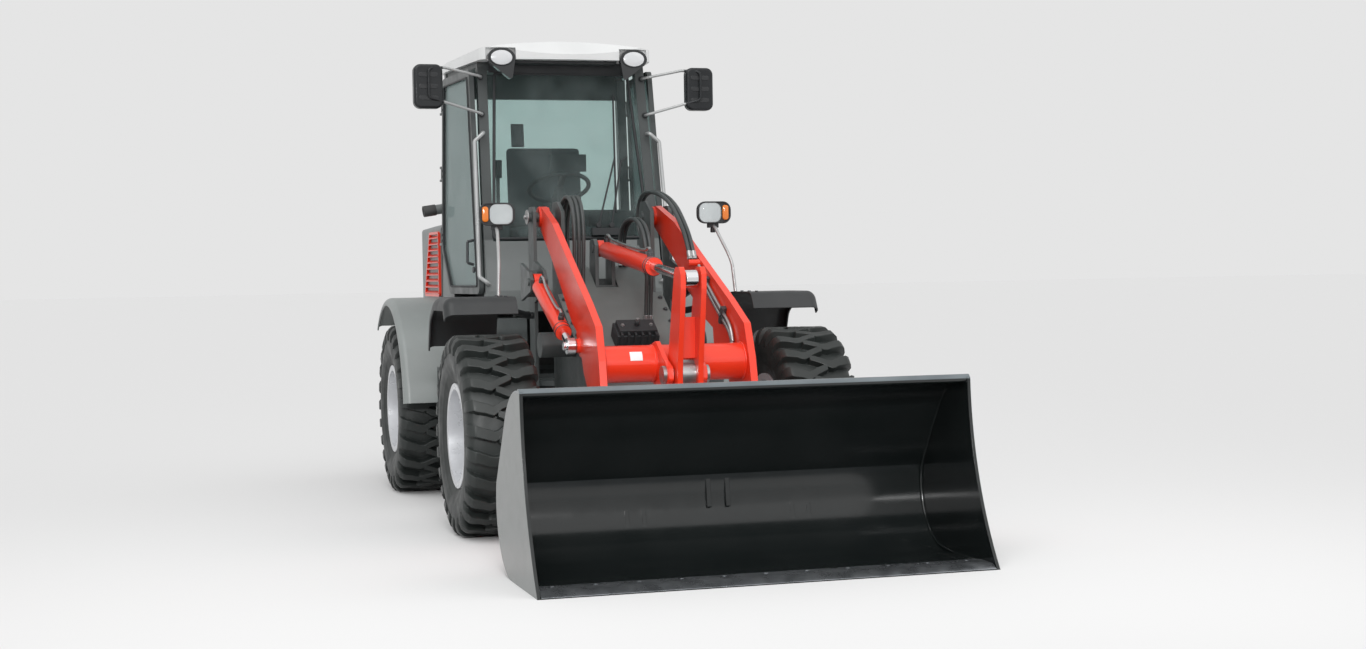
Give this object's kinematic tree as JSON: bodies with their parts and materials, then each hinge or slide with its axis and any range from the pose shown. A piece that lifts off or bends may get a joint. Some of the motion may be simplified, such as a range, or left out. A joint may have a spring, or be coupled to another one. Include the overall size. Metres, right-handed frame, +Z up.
{
  "type": "compact articulated wheel loader",
  "caption": "Articulated wheel loader with a lifting boom, tipping bucket, steering pivot, opening doors and hood.",
  "frame": {"origin": "ground level under the middle of the overall length and width, at rest", "axes": "+X forward towards the bucket, +Y to the driver's left, +Z up"},
  "size_m": [5.38, 1.98, 2.603],
  "materials": {
    "tyre": "matte rubber",
    "hose_rubber": "matte rubber",
    "rim_paint": "satin",
    "arm_paint": "gloss",
    "frame_paint": "satin",
    "body_paint": "satin",
    "pale_paint": "satin",
    "roof_paint": "satin",
    "bucket_paint": "satin",
    "black_plastic": "matte",
    "lamp_plastic": "gloss",
    "glass": "clear",
    "chrome": "polished",
    "pin_steel": "brushed",
    "cast_iron": "rough",
    "seat_fabric": "woven"
  },
  "bodies": {
    "rear_frame": {"rear_frame": "frame_paint", "rear_axle": "frame_paint", "engine_block": "cast_iron", "counterweight": "frame_paint", "steps": "frame_paint", "rear_fenders": "pale_paint", "cab_frame": "pale_paint", "cab_roof": "roof_paint", "windscreen": "glass", "rear_window": "glass", "seat": "seat_fabric", "console": "black_plastic", "mirrors": "black_plastic", "grab_rails": "pin_steel", "lamps": "lamp_plastic", "exhaust": "body_paint"},
    "front_frame": {"front_frame": "frame_paint", "front_axle": "frame_paint", "front_cover": "body_paint", "front_fenders": "black_plastic", "headlamps": "lamp_plastic", "tower_hoses": "hose_rubber"},
    "wheel_front_right": {"tyre_front_right": "tyre", "rim_front_right": "rim_paint"},
    "wheel_front_left": {"tyre_front_left": "tyre", "rim_front_left": "rim_paint"},
    "wheel_rear_right": {"tyre_rear_right": "tyre", "rim_rear_right": "rim_paint"},
    "wheel_rear_left": {"tyre_rear_left": "tyre", "rim_rear_left": "rim_paint"},
    "boom": {"boom": "arm_paint", "arm_hose": "hose_rubber"},
    "bucket_pins": {"bucket_pins": "pin_steel"},
    "bucket": {"bucket": "bucket_paint"},
    "bellcrank_pin": {"bellcrank_pin": "pin_steel"},
    "bellcrank": {"bellcrank": "frame_paint"},
    "link_pin": {"link_pin": "pin_steel"},
    "link": {"link": "frame_paint"},
    "tilt_barrel": {"tilt_barrel": "frame_paint"},
    "tilt_rod": {"tilt_rod": "chrome"},
    "lift_barrel_right": {"lift_barrel_right": "frame_paint"},
    "lift_rod_right": {"lift_rod_right": "chrome"},
    "lift_barrel_left": {"lift_barrel_left": "frame_paint"},
    "lift_rod_left": {"lift_rod_left": "chrome"},
    "steer_barrel": {"steer_barrel": "frame_paint"},
    "steer_rod": {"steer_rod": "chrome"},
    "door_right": {"door_right": "pale_paint", "door_glass_right": "glass"},
    "door_left": {"door_left": "pale_paint", "door_glass_left": "glass"},
    "hood": {"hood": "body_paint", "hood_grilles": "arm_paint"}
  },
  "joints": [
    {"name": "steer", "type": "hinge", "parent": "rear_frame", "child": "front_frame", "pos_m": [-0.357, 0, 0.54], "axis": [0, 0, 1], "range_deg": [-38, 38]},
    {"name": "wheel_front_right_spin", "type": "hinge", "parent": "front_frame", "child": "wheel_front_right", "pos_m": [0.713, -0.795, 0.49], "axis": [0, 1, 0], "continuous": true},
    {"name": "wheel_front_left_spin", "type": "hinge", "parent": "front_frame", "child": "wheel_front_left", "pos_m": [0.713, 0.795, 0.49], "axis": [0, 1, 0], "continuous": true},
    {"name": "wheel_rear_right_spin", "type": "hinge", "parent": "rear_frame", "child": "wheel_rear_right", "pos_m": [-1.427, -0.795, 0.49], "axis": [0, 1, 0], "continuous": true},
    {"name": "wheel_rear_left_spin", "type": "hinge", "parent": "rear_frame", "child": "wheel_rear_left", "pos_m": [-1.427, 0.795, 0.49], "axis": [0, 1, 0], "continuous": true},
    {"name": "boom_lift", "type": "hinge", "parent": "front_frame", "child": "boom", "pos_m": [-0.117, 0, 1.575], "axis": [0, -1, 0], "range_deg": [0, 78]},
    {"name": "bucket_pins_turn", "type": "hinge", "parent": "boom", "child": "bucket_pins", "pos_m": [1.723, 0, 0.288], "axis": [0, 1, 0], "range_deg": [-1, 79]},
    {"name": "bucket_tilt", "type": "hinge", "parent": "bucket_pins", "child": "bucket", "pos_m": [1.723, 0, 0.288], "axis": [0, 1, 0], "range_deg": [-42, 45]},
    {"name": "bellcrank_pin_turn", "type": "hinge", "parent": "boom", "child": "bellcrank_pin", "pos_m": [1.428, 0, 0.793], "axis": [0, -1, 0], "range_deg": [-1, 20.15]},
    {"name": "bellcrank_swing", "type": "hinge", "parent": "bellcrank_pin", "child": "bellcrank", "pos_m": [1.428, 0, 0.793], "axis": [0, -1, 0], "range_deg": [-15.86, 16.92]},
    {"name": "link_pin_turn", "type": "hinge", "parent": "bucket", "child": "link_pin", "pos_m": [1.823, 0, 0.48], "axis": [0, -1, 0], "range_deg": [-1, 32.6]},
    {"name": "link_swing", "type": "hinge", "parent": "link_pin", "child": "link", "pos_m": [1.823, 0, 0.48], "axis": [0, -1, 0], "range_deg": [-28.24, 30.19]},
    {"name": "tilt_barrel_swing", "type": "hinge", "parent": "front_frame", "child": "tilt_barrel", "pos_m": [-0.094, 0, 1.402], "axis": [0, -1, 0], "range_deg": [-1, 75.91]},
    {"name": "tilt_rod_slide", "type": "slide", "parent": "tilt_barrel", "child": "tilt_rod", "axis": [0.9948, 0, -0.1016], "range_m": [-0.1017, 0.0952]},
    {"name": "lift_barrel_right_swing", "type": "hinge", "parent": "front_frame", "child": "lift_barrel_right", "pos_m": [0.15, -0.414, 1.23], "axis": [0, -1, 0], "range_deg": [-1, 87.92]},
    {"name": "lift_rod_right_slide", "type": "slide", "parent": "lift_barrel_right", "child": "lift_rod_right", "axis": [0.9195, 0, -0.393], "range_m": [-0.004, 0.5295]},
    {"name": "lift_barrel_left_swing", "type": "hinge", "parent": "front_frame", "child": "lift_barrel_left", "pos_m": [0.15, 0.414, 1.23], "axis": [0, -1, 0], "range_deg": [-1, 87.92]},
    {"name": "lift_rod_left_slide", "type": "slide", "parent": "lift_barrel_left", "child": "lift_rod_left", "axis": [0.9195, 0, -0.393], "range_m": [-0.004, 0.5295]},
    {"name": "steer_barrel_swing", "type": "hinge", "parent": "rear_frame", "child": "steer_barrel", "pos_m": [-0.76, -0.19, 0.54], "axis": [0, 0, 1], "range_deg": [-8.96, 8.96]},
    {"name": "steer_rod_slide", "type": "slide", "parent": "steer_barrel", "child": "steer_rod", "axis": [0.9998, -0.0198, 0], "range_m": [-0.1336, 0.1336]},
    {"name": "door_right_swing", "type": "hinge", "parent": "rear_frame", "child": "door_right", "pos_m": [-1.65685, -0.60472, 1.17441], "axis": [0.0015, -0.0218, -0.9998], "range_deg": [0, 95]},
    {"name": "door_left_swing", "type": "hinge", "parent": "rear_frame", "child": "door_left", "pos_m": [-1.65685, 0.60472, 1.17441], "axis": [-0.0015, -0.0218, 0.9998], "range_deg": [0, 95]},
    {"name": "hood_lid", "type": "hinge", "parent": "rear_frame", "child": "hood", "pos_m": [-1.812, 0, 1.604], "axis": [0, 1, 0], "range_deg": [0, 50]}
  ],
  "couplings": [
    {"joint": "bucket_pins_turn", "follows": "boom_lift", "ratio": 1},
    {"joint": "bellcrank_pin_turn", "follows": "boom_lift", "ratio": 0.2455},
    {"joint": "bellcrank_swing", "follows": "bucket_tilt", "ratio": 0.3538},
    {"joint": "link_pin_turn", "follows": "boom_lift", "ratio": 0.4051},
    {"joint": "link_swing", "follows": "bucket_tilt", "ratio": 0.6486},
    {"joint": "tilt_barrel_swing", "follows": "boom_lift", "ratio": 0.9604},
    {"joint": "tilt_rod_slide", "follows": "bucket_tilt", "m_per_rad": -0.1244},
    {"joint": "lift_barrel_right_swing", "follows": "boom_lift", "ratio": 1.1144},
    {"joint": "lift_rod_right_slide", "follows": "boom_lift", "m_per_rad": 0.386},
    {"joint": "lift_barrel_left_swing", "follows": "boom_lift", "ratio": 1.1144},
    {"joint": "lift_rod_left_slide", "follows": "boom_lift", "m_per_rad": 0.386},
    {"joint": "steer_barrel_swing", "follows": "steer", "ratio": 0.2095},
    {"joint": "steer_rod_slide", "follows": "steer", "m_per_rad": 0.19536}
  ]
}
